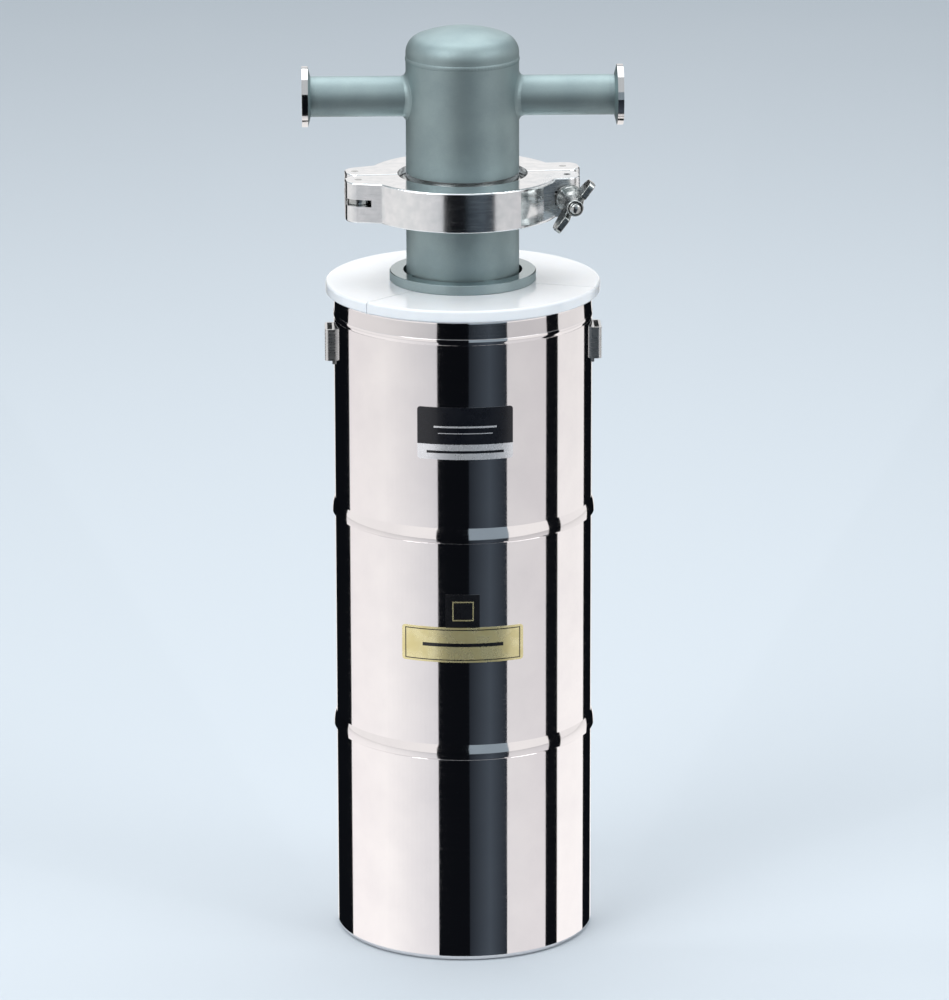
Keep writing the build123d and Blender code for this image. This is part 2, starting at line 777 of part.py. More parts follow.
with BuildPart() as wing_nut:
    with BuildSketch(nut_section):
        with BuildLine():
            Polyline(
                (0, 0),
                (nut_base_radius, 0),
                (nut_base_radius, nut_base_depth),
                (nut_end_radius, nut_base_depth + nut_base_radius),
                (nut_end_radius, nut_length),
                (0, nut_length),
                close=True,
            )
        make_face()
    revolve(axis=Axis(nut_origin, bolt_axis.z_dir))
    with BuildSketch(nut_section) as wings:
        with BuildLine():
            Polyline(
                (0, wing_start),
                (nut_end_radius, wing_start),
                (wing_tip, nut_length - wing_tip_length),
                (wing_tip, nut_length),
                (nut_end_radius + wing_front_step, nut_length),
                (nut_end_radius, nut_length - wing_front_depth),
                (0, nut_length - wing_front_depth),
                close=True,
            )
        make_face()
        tips = wings.vertices().group_by(Axis.X)[-1]
        fillet(tips, radius=wing_corner)
        mirror(about=Plane.YZ)
    extrude(amount=wing_thickness / 2, both=True)
    with BuildSketch(nut_plane):
        Circle(bolt_radius + nut_clearance)
    extrude(amount=nut_length, mode=Mode.SUBTRACT)
wing_nut.part.label = "wing_nut"
export_step(wing_nut.part, "parts/wing_nut.step")
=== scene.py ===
import json
from math import asin, cos, floor, pi, radians, sin, sqrt

import bmesh
import bpy
from mathutils import Matrix, Vector


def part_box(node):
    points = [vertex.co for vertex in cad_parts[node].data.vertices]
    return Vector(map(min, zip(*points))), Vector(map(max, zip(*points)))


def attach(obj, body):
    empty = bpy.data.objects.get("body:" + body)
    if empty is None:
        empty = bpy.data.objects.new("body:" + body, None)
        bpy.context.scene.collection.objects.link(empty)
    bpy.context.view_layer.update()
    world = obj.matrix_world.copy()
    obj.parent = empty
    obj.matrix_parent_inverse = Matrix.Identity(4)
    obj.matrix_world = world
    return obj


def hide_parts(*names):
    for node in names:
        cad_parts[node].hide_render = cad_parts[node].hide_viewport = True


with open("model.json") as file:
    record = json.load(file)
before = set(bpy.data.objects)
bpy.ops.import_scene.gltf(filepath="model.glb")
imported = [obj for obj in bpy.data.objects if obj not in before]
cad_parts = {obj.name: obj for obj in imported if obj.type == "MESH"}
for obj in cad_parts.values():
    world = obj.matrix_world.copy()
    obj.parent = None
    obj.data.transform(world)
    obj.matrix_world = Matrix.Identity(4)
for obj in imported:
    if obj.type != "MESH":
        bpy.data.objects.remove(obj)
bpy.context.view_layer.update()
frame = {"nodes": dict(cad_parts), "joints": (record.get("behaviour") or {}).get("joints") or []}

# ------------------------------------------------------------------ Studio
# A pale matt table top that runs out of sight, and a long lens looking slightly down on it. The
# pattern on polished steel is the room seen in it, so glowing pale and black cards lie round the
# vessel, seen only in its reflections.
MM = 0.001
camera_place = Vector((-0.0877, -2.9987, 1.0658))
camera_heading = -0.0311
camera_pitch = 0.274
camera_roll = -0.002
lens = 223.1
film = 36.0


def colour(code):
    """Linear colour from an sRGB hex value."""
    shares = [int(code[place:place + 2], 16) / 255 for place in (1, 3, 5)]
    return [s / 12.92 if s <= 0.04045 else ((s + 0.055) / 1.055) ** 2.4 for s in shares] + [1.0]


def add(material, kind, sockets=None, **settings):
    """Add a shader node with its settings. A socket is given a value, or an output to link."""
    made = material.node_tree.nodes.new("ShaderNode" + kind)
    for name, value in settings.items():
        setattr(made, name, value)
    for name, value in (sockets or {}).items():
        if isinstance(value, bpy.types.NodeSocket):
            material.node_tree.links.new(value, made.inputs[name])
        else:
            made.inputs[name].default_value = value
    return made


def surface(name, **values):
    """New material, and its Principled shader with the given constants set on its sockets."""
    material = bpy.data.materials.new(name)
    material.use_nodes = True
    shader = material.node_tree.nodes["Principled BSDF"]
    for socket, value in values.items():
        shader.inputs[socket.replace("_", " ")].default_value = value
    return material, shader


def link(material, output, socket):
    """Join an output to a socket."""
    material.node_tree.links.new(output, socket)


def mesh_piece(name, bm, material):
    """Turn a bmesh into a smooth shaded object in the scene with that material."""
    bmesh.ops.recalc_face_normals(bm, faces=bm.faces)
    mesh = bpy.data.meshes.new(name)
    bm.to_mesh(mesh)
    bm.free()
    mesh.polygons.foreach_set("use_smooth", [True] * len(mesh.polygons))
    mesh.materials.append(material)
    piece = bpy.data.objects.new(name, mesh)
    bpy.context.scene.collection.objects.link(piece)
    return piece


camera = bpy.data.objects.new("studio_camera", bpy.data.cameras.new("studio_camera"))
camera.data.lens = lens
camera.data.sensor_width = film
camera.data.sensor_fit = "AUTO"
camera.data.clip_end = 60
camera.matrix_world = (
    Matrix.Translation(camera_place)
    @ Matrix.Rotation(camera_heading, 4, "Z")
    @ Matrix.Rotation(pi / 2 - camera_pitch, 4, "X")
    @ Matrix.Rotation(camera_roll, 4, "Z")
)
bpy.context.scene.collection.objects.link(camera)
bpy.context.scene.camera = camera
bpy.context.scene.view_settings.view_transform = "Standard"

table_reach = 30
table_finish = surface(
    "matt_white_laminate", Base_Color=colour("#cbd3da"), Roughness=0.9, Specular_IOR_Level=0.1
)[0]
bm = bmesh.new()
bmesh.ops.create_grid(bm, x_segments=4, y_segments=4, size=table_reach)
table = mesh_piece("studio_table", bm, table_finish)

room_glow = 0.76
room = bpy.data.worlds.new("studio_room")
room.use_nodes = True
bpy.context.scene.world = room
room_light = room.node_tree.nodes["Background"]
room_light.inputs["Color"].default_value = colour("#e9eef2")
room_light.inputs["Strength"].default_value = room_glow

lamp_target = Vector((0, 0, 0.3))
for name, place, across, power in (
    ("key_light", (-1.3, -1.2, 1.9), 1.4, 20),
    ("fill_light", (1.5, -0.9, 1.5), 1.2, 9),
    ("top_light", (0.0, 0.6, 1.9), 2.0, 19),
):
    lamp = bpy.data.objects.new(name, bpy.data.lights.new(name, "AREA"))
    lamp.data.shape = "DISK"
    lamp.data.size = across
    lamp.data.energy = power
    lamp.location = place
    aim = lamp_target - Vector(place)
    lamp.rotation_euler = aim.to_track_quat("-Z", "Y").to_euler()
    bpy.context.scene.collection.objects.link(lamp)

# The cards glow, and are laid out for this one camera: each edge is given as the share of the
# vessel's half width at which the camera sees it, and runs out from the foot the way the polished
# wall turns its view. From anywhere else the strips look bent. A card's glow fades from its first
# edge to its second, and fades outwards as a painted fall-off of light. Its far end stands up,
# where only the flares of the beads and neck look.
card_start = 6 * MM
card_lift = 0.4 * MM
card_reach = 2.4
card_height = 1.3
card_far_share = 0.65
card_standing_share = 0.85
card_glow = 1.13
card_steps = 12
black, slate, mist, pale, white = "#0c0e12", "#272c33", "#454d56", "#e2dfe1", "#fffcfb"
bluish = "#93a1ab"
cards = (
    (-0.992, black, -0.874, black, black),
    (-0.874, "#fbf7f7", -0.62, white, white),
    (-0.62, white, -0.195, "#dedde0", white),
    (-0.195, black, 0.045, black, black),
    (0.045, slate, 0.2, mist, bluish),
    (0.2, mist, 0.335, slate, bluish),
    (0.335, "#e4e2e3", 0.635, pale, white),
    (0.635, black, 0.725, black, black),
    (0.725, white, 0.93, white, white),
    (0.93, black, 0.992, black, black),
    (0.992, white, -0.992, white, white),
)
# The cards are glowing panels of painted light, seen only in the steel's reflections.
card_finish = bpy.data.materials.new("glowing_studio_card")
card_finish.use_nodes = True
card_finish.node_tree.nodes.clear()
tone = add(card_finish, "Attribute", attribute_name="tone")
glow = add(card_finish, "Emission", {"Color": tone.outputs["Color"], "Strength": card_glow})
add(card_finish, "OutputMaterial", {"Surface": glow.outputs["Emission"]})

shell_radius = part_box("neck_ring")[1].x
ahead = Vector((-sin(camera_heading), cos(camera_heading), 0))
aside = Vector((cos(camera_heading), sin(camera_heading), 0))
eye = Vector((camera_place.x, camera_place.y, 0))


def card_edge(share):
    """Foot point and direction of the strip's edge that the camera sees at that share."""
    across = asin(share)
    outward = aside * sin(across) - ahead * cos(across)
    start = outward * shell_radius
    return start, (start - eye).normalized().reflect(outward)


for number, (share, first_tone, end_share, end_tone, high_tone) in enumerate(cards):
    bm = bmesh.new()
    paint = bm.verts.layers.float_color.new("tone")
    rows = []
    for step in range(card_steps + 1):
        part = step / card_steps
        if end_share > share:
            start, way = card_edge(share + (end_share - share) * part)
        else:
            side = 1 if part < 0.5 else -1
            start, way = card_edge(side * (1 - (1 - share) * abs(2 * part - 1)))
        near = start + way * card_start + Vector((0, 0, card_lift))
        far = start + way * card_reach
        high = far + Vector((0, 0, card_height))
        mixed = Vector(colour(first_tone)).lerp(Vector(colour(end_tone)), part)
        standing = Vector(colour(high_tone))
        row = []
        for corner, shade in (
            (near, mixed),
            (far, mixed * card_far_share),
            (far, standing * card_standing_share),
            (high, standing * card_standing_share),
        ):
            row.append(bm.verts.new(corner))
            row[-1][paint] = shade
        rows.append(row)
    for first, second in zip(rows, rows[1:]):
        for low in (0, 2):
            bm.faces.new((first[low], first[low + 1], second[low + 1], second[low]))
    card = mesh_piece(f"studio_card_{number}", bm, card_finish)
    card.visible_camera = False
    card.visible_diffuse = False
    card.visible_shadow = False
    card.visible_transmission = False

# ------------------------------------------------------------------ Vessel shell and neck ring
# The outer shell is 1 mm stainless sheet, rolled, seam welded at the back and rolled out into two
# stiffening beads. The neck ring is pressed and welded over its top. Both are polished to a mirror.


def streaks(material, fine, length, detail=2.0):
    """Noise drawn out round the Z axis: fine is its height in mm, length its run in mm."""
    place = add(material, "TexCoord")
    stretch = add(
        material,
        "Mapping",
        {"Vector": place.outputs["Object"], "Scale": (1000 / length, 1000 / length, 1000 / fine)},
    )
    return add(
        material, "TexNoise", {"Vector": stretch.outputs["Vector"], "Scale": 1.0, "Detail": detail}
    )


def grain(material, size, detail=2.0, roughness=0.5):
    """Even noise whose grains are size mm across."""
    place = add(material, "TexCoord")
    return add(
        material,
        "TexNoise",
        {
            "Vector": place.outputs["Object"],
            "Scale": 1000 / size,
            "Detail": detail,
            "Roughness": roughness,
        },
    )


def spread(material, value, low, high, start=0.3, end=0.7):
    """Remap a value from start..end to low..high."""
    return add(
        material,
        "MapRange",
        {"Value": value, "From Min": start, "From Max": end, "To Min": low, "To Max": high},
    ).outputs["Result"]


def tint(material, value, first, second):
    """Blend two colours by a value."""
    blend = add(material, "Mix", {0: value, 6: colour(first), 7: colour(second)}, data_type="RGBA")
    return blend.outputs[2]


def relief(material, shader, heights):
    """Stack bumps on a shader. Each is a height output and its depth in mm."""
    normal = None
    for height, depth in heights:
        sockets = {"Height": height, "Distance": depth * MM, "Strength": 1.0}
        if normal is not None:
            sockets["Normal"] = normal
        normal = add(material, "Bump", sockets).outputs["Normal"]
    link(material, normal, shader.inputs["Normal"])


# Mirror polished 304 sheet: a hard, slightly warm mirror. The mop leaves hair lines round the
# shell, drawn at 0.5 mm so that they show, and the rolled sheet is never quite flat.
mirror_steel, shader = surface("mirror_polished_stainless", Metallic=1.0, Roughness=0.04)
hair = streaks(mirror_steel, 0.5, 45)
smear = grain(mirror_steel, 22, detail=4)
link(
    mirror_steel,
    tint(mirror_steel, spread(mirror_steel, smear.outputs["Fac"], 0, 1), "#f1eeee", "#eae7e8"),
    shader.inputs["Base Color"],
)
link(
    mirror_steel,
    spread(mirror_steel, hair.outputs["Fac"], 0.03, 0.085),
    shader.inputs["Roughness"],
)
wave = grain(mirror_steel, 70, detail=1)
relief(mirror_steel, shader, [(wave.outputs["Fac"], 0.12), (hair.outputs["Fac"], 0.0006)])


def finish_nodes(material, *names):
    """Give CAD nodes a material."""
    for name in names:
        slots = frame["nodes"][name].data.materials
        slots.clear()
        slots.append(material)


finish_nodes(mirror_steel, "outer_shell", "neck_ring")


def ring_faces(bm, sections):
    """Join closed cross-sections round a loop, back to the first."""
    rings = [[bm.verts.new(point) for point in section] for section in sections]
    for first, second in zip(rings, rings[1:] + rings[:1]):
        for here in range(len(first)):
            there = (here + 1) % len(first)
            bm.faces.new((first[here], first[there], second[there], second[here]))


# The seam where the neck ring laps over the shell is rolled down to a low, soft ridge.
seam_height = 3.0 * MM
seam_proud = 0.16 * MM
seam_sink = 0.01 * MM
seam_root = 0.4 * MM
seam_steps = 360
seam_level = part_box("neck_ring")[0].z
seam_sections = []
for step in range(seam_steps):
    angle = 2 * pi * step / seam_steps
    outward = Vector((cos(angle), sin(angle), 0))
    section = []
    for part in range(17):
        share = part / 8 - 1
        reach = shell_radius - seam_sink + seam_proud * (1 + cos(pi * share)) / 2
        rise = seam_level - seam_height / 2 * share
        section.append(outward * reach + Vector((0, 0, rise)))
    for rise in (-0.5, 0.5):
        inner = outward * (shell_radius - seam_root)
        section.append(inner + Vector((0, 0, seam_level + seam_height * rise)))
    seam_sections.append(section)
bm = bmesh.new()
ring_faces(bm, seam_sections)
neck_seam = mesh_piece("neck_ring_seam", bm, mirror_steel)
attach(neck_seam, "dewar")

# ------------------------------------------------------------------ Inner vessel, pan and pump-out
# The inner vessel, the base pan and the getter can are plain rolled sheet, never seen in use. The
# space between the shells is pumped out through a copper tube that is pinched shut under a cap.

# 2B rolled stainless: a soft grey sheen, with rolling lines drawn at 0.6 mm so that they show.
rolled_steel, shader = surface("rolled_2b_stainless", Metallic=1.0)
lines = streaks(rolled_steel, 0.6, 30, detail=3)
patch = grain(rolled_steel, 9, detail=3)
link(
    rolled_steel,
    tint(rolled_steel, spread(rolled_steel, patch.outputs["Fac"], 0, 1), "#d9dad9", "#cccece"),
    shader.inputs["Base Color"],
)
link(
    rolled_steel, spread(rolled_steel, lines.outputs["Fac"], 0.26, 0.3), shader.inputs["Roughness"]
)
relief(rolled_steel, shader, [(patch.outputs["Fac"], 0.002)])
finish_nodes(rolled_steel, "inner_vessel", "base_pan", "port_cap", "getter_can")

# Drawn copper: warm and half dull, browned by handling in patches about 2 mm across.
drawn_copper, shader = surface("drawn_copper", Metallic=1.0)
patch = grain(drawn_copper, 2, detail=4)
link(
    drawn_copper,
    tint(drawn_copper, spread(drawn_copper, patch.outputs["Fac"], 0, 1), "#c98a63", "#8f5a41"),
    shader.inputs["Base Color"],
)
link(
    drawn_copper, spread(drawn_copper, patch.outputs["Fac"], 0.25, 0.45), shader.inputs["Roughness"]
)
finish_nodes(drawn_copper, "evacuation_tube")

# ------------------------------------------------------------------ Brackets
# Two channels of 1.2 mm stainless strip, folded and spot welded to the shell through their backs,
# with a tail below. They keep the plain rolled finish of the strip.
finish_nodes(rolled_steel, "left_bracket", "right_bracket")

# ------------------------------------------------------------------ Label plates
# Printed film on thin foil, stuck to the shell. The upper is black over a silver strip, the lower
# is gold with a black tab. Plain rules stand where a maker would print a name.
upper_low, upper_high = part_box("upper_label")
lower_low, lower_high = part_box("lower_label")
silver_strip = 7.7 * MM
gold_plate = 18.0 * MM
whole_width = 80 * MM
whole_height = 40 * MM


def inside(material, low_x, high_x, low_z, high_z):
    """1 within an upright rectangle, seen from the front, and 0 outside it."""
    place = add(material, "TexCoord")
    parts = add(material, "SeparateXYZ", {"Vector": place.outputs["Object"]})
    shares = []
    for axis, low, high in (("X", low_x, high_x), ("Z", low_z, high_z)):
        shifted = add(
            material,
            "Math",
            {0: parts.outputs[axis], 1: (low + high) / 2},
            operation="SUBTRACT",
        )
        away = add(material, "Math", {0: shifted.outputs["Value"]}, operation="ABSOLUTE")
        near = add(
            material,
            "Math",
            {0: away.outputs["Value"], 1: (high - low) / 2},
            operation="LESS_THAN",
        )
        shares.append(near.outputs["Value"])
    both = add(material, "Math", {0: shares[0], 1: shares[1]}, operation="MULTIPLY")
    return both.outputs["Value"]


def toggled(material, first, second):
    """1 where just one of two masks is 1."""
    apart = add(material, "Math", {0: first, 1: second}, operation="SUBTRACT")
    return add(material, "Math", {0: apart.outputs["Value"]}, operation="ABSOLUTE").outputs["Value"]


def printed(name, bare, ink, masks, metal):
    """Foil in two bare tones with glossy ink on it, where the masks toggle to 1."""
    material, shader = surface(name, Coat_Weight=0.2, Coat_Roughness=0.08)
    inked = masks[0](material)
    for mask in masks[1:]:
        inked = toggled(material, inked, mask(material))
    dust = grain(material, 6.0, detail=3)
    foil = tint(material, spread(material, dust.outputs["Fac"], 0, 1), *bare)
    dye = tint(material, dust.outputs["Fac"], *ink)
    mixed = add(material, "Mix", {0: inked, 6: foil, 7: dye}, data_type="RGBA")
    link(material, mixed.outputs[2], shader.inputs["Base Color"])
    link(material, spread(material, inked, metal, 0.0, 0, 1), shader.inputs["Metallic"])
    link(material, spread(material, dust.outputs["Fac"], 0.24, 0.32), shader.inputs["Roughness"])
    return material


def block(middle, low, width, height):
    """Mask of a printed block, by its middle, foot, width and height."""
    return lambda material: inside(
        material, middle - width / 2, middle + width / 2, low, low + height
    )


# Silver foil printed black: the ink is a glossy lacquer, the bare foil a satin silver.
middle = (upper_low.x + upper_high.x) / 2
ink_low = upper_low.z + silver_strip
black_on_silver = printed(
    "black_ink_on_silver_foil",
    ("#f6f6f8", "#eeeef1"),
    ("#080b13", "#0d111b"),
    (
        block(middle, ink_low, whole_width, whole_height),
        block(middle, ink_low + 8.4 * MM, 31 * MM, 0.9 * MM),
        block(middle, ink_low + 5.4 * MM, 27 * MM, 0.4 * MM),
        block(middle, upper_low.z + 3.2 * MM, 38 * MM, 1.3 * MM),
    ),
    0.7,
)
finish_nodes(black_on_silver, "upper_label")

# Gold foil: yellow and satin, a little uneven, with the same black ink on the tab above it.
middle = (lower_low.x + lower_high.x) / 2
tab_low = lower_low.z + gold_plate
black_on_gold = printed(
    "black_ink_on_gold_foil",
    ("#efe4b2", "#e3d59a"),
    ("#0b0c10", "#15161b"),
    (
        block(middle, tab_low, whole_width, whole_height),
        block(middle, tab_low + 3.5 * MM, 10.6 * MM, 10 * MM),
        block(middle, tab_low + 4.1 * MM, 9.4 * MM, 8.8 * MM),
        block(middle, lower_low.z + 1.0 * MM, 57 * MM, 16 * MM),
        block(middle, lower_low.z + 1.5 * MM, 56 * MM, 15 * MM),
        block(middle, lower_low.z + 8.1 * MM, 40 * MM, 1.8 * MM),
    ),
    0.75,
)
finish_nodes(black_on_gold, "lower_label")

# ------------------------------------------------------------------ Lid
# Three sectors of white plastic plate, 5.8 mm thick, turned to size and laid loose on the rim, so
# that each can be drawn out from under the collar to pour nitrogen in.

# White polyethylene: bright and glossy, slightly translucent, with a faint moulded ripple.
white_plastic, shader = surface(
    "white_polyethylene",
    IOR=1.5,
    Subsurface_Weight=0.25,
    Subsurface_Radius=(1.0, 0.9, 0.8),
    Subsurface_Scale=0.002,
)
cloud = grain(white_plastic, 14, detail=3)
skin = grain(white_plastic, 0.5, detail=2)
link(
    white_plastic,
    tint(white_plastic, cloud.outputs["Fac"], "#f4f6f8", "#eceff2"),
    shader.inputs["Base Color"],
)
link(
    white_plastic, spread(white_plastic, skin.outputs["Fac"], 0.1, 0.18), shader.inputs["Roughness"]
)
relief(white_plastic, shader, [(cloud.outputs["Fac"], 0.02), (skin.outputs["Fac"], 0.0015)])
finish_nodes(white_plastic, "lid_segment_front", "lid_segment_left", "lid_segment_right")

# ------------------------------------------------------------------ Trap tube and collar
# The trap is a 56 mm stainless tube with a dished end, and hangs through the lid on a turned
# collar that is tacked to it. Both are blasted with fine glass beads after welding.

# Bead blasted stainless: a dull grey satin, tinted grey-green as a painted reflection of the bluish
# room. Bead dents are drawn at 0.5 mm so that they show.
blasted_steel, shader = surface("bead_blasted_stainless", Metallic=1.0)
dents = grain(blasted_steel, 0.5, detail=3, roughness=0.6)
cloud = grain(blasted_steel, 16, detail=3)
# Both tones carry the painted grey-green reflection of the bluish room.
link(
    blasted_steel,
    tint(blasted_steel, spread(blasted_steel, cloud.outputs["Fac"], 0, 1), "#9cadaf", "#90a1a4"),
    shader.inputs["Base Color"],
)
link(
    blasted_steel,
    spread(blasted_steel, dents.outputs["Fac"], 0.5, 0.62),
    shader.inputs["Roughness"],
)
relief(blasted_steel, shader, [(dents.outputs["Fac"], 0.012)])
finish_nodes(blasted_steel, "trap_tube")

# The collar is blasted more lightly over its turned faces. Its flat top keeps a soft mirror, and
# the lathe's feed shows as fine lines round its rim.
collar_steel, shader = surface("lightly_blasted_turned_stainless", Metallic=1.0)
dents = grain(collar_steel, 0.5, detail=3, roughness=0.6)
lathe_lines = streaks(collar_steel, 0.5, 20)
# Its grey-green tint is a painted reflection of the bluish room, as on the trap tube.
link(
    collar_steel,
    tint(collar_steel, spread(collar_steel, dents.outputs["Fac"], 0, 1), "#a3b2b4", "#98a8ab"),
    shader.inputs["Base Color"],
)
place = add(collar_steel, "TexCoord")
parts = add(collar_steel, "SeparateXYZ", {"Vector": place.outputs["Object"]})
collar_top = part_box("collar")[1].z
face = spread(
    collar_steel, parts.outputs["Z"], 0, 1, collar_top - 0.3 * MM, collar_top - 0.1 * MM
)
brushed = spread(collar_steel, lathe_lines.outputs["Fac"], 0.34, 0.46)
roughness = add(collar_steel, "Mix", {0: face, 2: brushed, 3: 0.2}, data_type="FLOAT")
link(collar_steel, roughness.outputs[0], shader.inputs["Roughness"])
relief(collar_steel, shader, [(dents.outputs["Fac"], 0.004)])
finish_nodes(collar_steel, "collar")

# ------------------------------------------------------------------ Vacuum joint
# Two turned flanges with 15 degree cones, welded to the tubes, close on a black O-ring that a
# stainless centring ring holds. They are turned, not blasted, where the clamp and ring bear.


def turned(material, axis_point, axis_name, feed):
    """Noise in rings round an axis, as a lathe leaves them: feed is their spacing in mm."""
    place = add(material, "TexCoord")
    moved = add(
        material,
        "VectorMath",
        {0: place.outputs["Object"], 1: axis_point},
        operation="SUBTRACT",
    )
    parts = add(material, "SeparateXYZ", {"Vector": moved.outputs["Vector"]})
    others = [name for name in "XYZ" if name != axis_name]
    flat = add(
        material, "CombineXYZ", {"X": parts.outputs[others[0]], "Y": parts.outputs[others[1]]}
    )
    reach = add(material, "VectorMath", {0: flat.outputs["Vector"]}, operation="LENGTH")
    rings = add(
        material,
        "CombineXYZ",
        {"X": reach.outputs["Value"], "Y": parts.outputs[axis_name]},
    )
    return add(
        material,
        "TexNoise",
        {"Vector": rings.outputs["Vector"], "Scale": 1000 / feed, "Detail": 1.0},
    )


# Turned stainless: bright rings round the axis, drawn at 0.4 mm so that they show.
turned_steel, shader = surface("turned_stainless", Metallic=1.0)
rings = turned(turned_steel, (0, 0, 0), "Z", 0.4)
link(
    turned_steel,
    tint(turned_steel, rings.outputs["Fac"], "#d3d5d5", "#c2c6c6"),
    shader.inputs["Base Color"],
)
link(
    turned_steel, spread(turned_steel, rings.outputs["Fac"], 0.12, 0.26), shader.inputs["Roughness"]
)
relief(turned_steel, shader, [(rings.outputs["Fac"], 0.003)])
finish_nodes(turned_steel, "lower_flange", "upper_flange", "centring_ring")

# Nitrile rubber: a soft black with a faint bloom.
black_rubber, shader = surface("black_nitrile_rubber", IOR=1.52)
bloom = grain(black_rubber, 1.5, detail=4)
link(
    black_rubber, tint(black_rubber, bloom.outputs["Fac"], "#141414", "#222222"),
    shader.inputs["Base Color"],
)
link(
    black_rubber, spread(black_rubber, bloom.outputs["Fac"], 0.4, 0.6), shader.inputs["Roughness"]
)
relief(black_rubber, shader, [(bloom.outputs["Fac"], 0.01)])
finish_nodes(black_rubber, "o_ring")

# ------------------------------------------------------------------ Head
# The head is a short tube with a dished cap and two arms, all TIG welded, and a dip tube inside it
# that leads the gas to the bottom of the trap. The weld is a low bead of overlapping ripples, which
# blasting softens but doesn't hide.
finish_nodes(blasted_steel, "head_tube", "dome_cap", "left_arm", "right_arm", "dip_tube")

ripple_pitch = 1.7 * MM
weld_low, weld_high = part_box("cap_weld")
weld_proud = 0.3 * MM
weld_sink = 0.05 * MM
weld_root = 0.4 * MM
weld_steps = 880
tube_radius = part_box("head_tube")[1].y
arm_centre = (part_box("left_arm")[0].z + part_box("left_arm")[1].z) / 2
arm_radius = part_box("left_arm")[1].y


def ripple(travel):
    """Share of full height along a weld: each drop of metal rises slowly and ends sharply."""
    turn = travel / ripple_pitch
    return 0.72 + 0.28 * (1 - (turn - floor(turn))) ** 0.7


def cap_weld_section(share):
    """Low bead round the seam between the head tube and its cap."""
    angle = 2 * pi * share
    outward = Vector((cos(angle), sin(angle), 0))
    proud = weld_proud * ripple(angle * tube_radius)
    half = (weld_high.z - weld_low.z) / 2
    middle = (weld_high.z + weld_low.z) / 2
    points = []
    for step in range(-4, 5):
        lean = step / 4
        reach = tube_radius - weld_sink + (proud + weld_sink) * (1 - lean**2)
        points.append(outward * reach + Vector((0, 0, middle + half * lean)))
    for rise in (0.8, -0.8):
        points.append(outward * (tube_radius - weld_root) + Vector((0, 0, middle + half * rise)))
    return points


bm = bmesh.new()
ring_faces(bm, [cap_weld_section(step / weld_steps) for step in range(weld_steps)])
cap_bead = mesh_piece("cap_weld_bead", bm, blasted_steel)
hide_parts("cap_weld")
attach(cap_bead, "head")

saddle_leg = 2.6 * MM
saddle_hollow = 1.7
saddle_steps = 420


def saddle_section(side, share):
    """Fillet of weld in the corner between an arm and the head tube, on that side."""
    angle = 2 * pi * share
    spoke = Vector((0, cos(angle), sin(angle)))
    y = arm_radius * spoke.y
    corner = Vector((side * sqrt(tube_radius**2 - y**2), y, arm_centre + arm_radius * spoke.z))
    tube_out = Vector((corner.x, corner.y, 0)).normalized()
    along_arm = Vector((side, 0, 0))
    up_tube = (spoke - tube_out * spoke.dot(tube_out)).normalized()
    leg = saddle_leg * (0.85 + 0.15 * ripple(angle * arm_radius))
    inside_corner = -(spoke + tube_out).normalized() * 0.5 * MM
    points = []
    for step in range(9):
        part = step / 8
        points.append(
            corner
            + along_arm * leg * (1 - part) ** saddle_hollow
            + up_tube * leg * part**saddle_hollow
        )
    points[0] -= spoke * 0.12 * MM
    points[-1] -= tube_out * 0.25 * MM
    points.append(corner + up_tube * leg * 0.7 - tube_out * 0.8 * MM)
    points.append(corner + inside_corner * 1.5)
    points.append(corner + along_arm * leg * 0.7 - spoke * 0.8 * MM)
    return points


for side, name in ((-1, "left_arm_weld"), (1, "right_arm_weld")):
    bm = bmesh.new()
    ring_faces(bm, [saddle_section(side, step / saddle_steps) for step in range(saddle_steps)])
    fillet = mesh_piece(name, bm, blasted_steel)
    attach(fillet, "head")

# ------------------------------------------------------------------ Port flanges
# A small turned flange is welded to the end of each arm. Its rim and its sealing face are polished
# for the clamp and the seal, and the cone behind them is blasted with the arm.
port_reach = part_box("right_port_flange")[1].x
rim_depth = 3.0 * MM

# Turned stainless: bright rings round the arm's axis on the rim, drawn at 0.35 mm so that they
# show, and the grey of the blast behind it, tinted grey-green as a painted reflection of the bluish
# room.
port_steel, shader = surface("turned_rim_blasted_neck_stainless", Metallic=1.0)
place = add(port_steel, "TexCoord")
parts = add(port_steel, "SeparateXYZ", {"Vector": place.outputs["Object"]})
reach = add(port_steel, "Math", {0: parts.outputs["X"]}, operation="ABSOLUTE")
rim_start = port_reach - rim_depth
rim = spread(
    port_steel, reach.outputs["Value"], 0, 1, rim_start - 0.1 * MM, rim_start + 0.1 * MM
)
rings = turned(port_steel, (0, 0, arm_centre), "X", 0.35)
dents = grain(port_steel, 0.5, detail=3, roughness=0.6)
bright = tint(port_steel, rings.outputs["Fac"], "#e6e4e3", "#d6d5d4")
# The blast's grey-green tint is a painted reflection of the bluish room.
dull = tint(port_steel, dents.outputs["Fac"], "#9cadaf", "#90a1a4")
mixed = add(port_steel, "Mix", {0: rim, 6: dull, 7: bright}, data_type="RGBA")
link(port_steel, mixed.outputs[2], shader.inputs["Base Color"])
polish = spread(port_steel, rings.outputs["Fac"], 0.05, 0.12)
blast = spread(port_steel, dents.outputs["Fac"], 0.48, 0.6)
roughness = add(port_steel, "Mix", {0: rim, 2: blast, 3: polish}, data_type="FLOAT")
link(port_steel, roughness.outputs[0], shader.inputs["Roughness"])
relief(port_steel, shader, [(dents.outputs["Fac"], 0.002)])
finish_nodes(port_steel, "left_port_flange", "right_port_flange")

# ------------------------------------------------------------------ Clamp
# Two die cast aluminium halves with a groove that draws the flanges together. They pivot on a link
# at the left. The castings are faced and then tumbled bright.

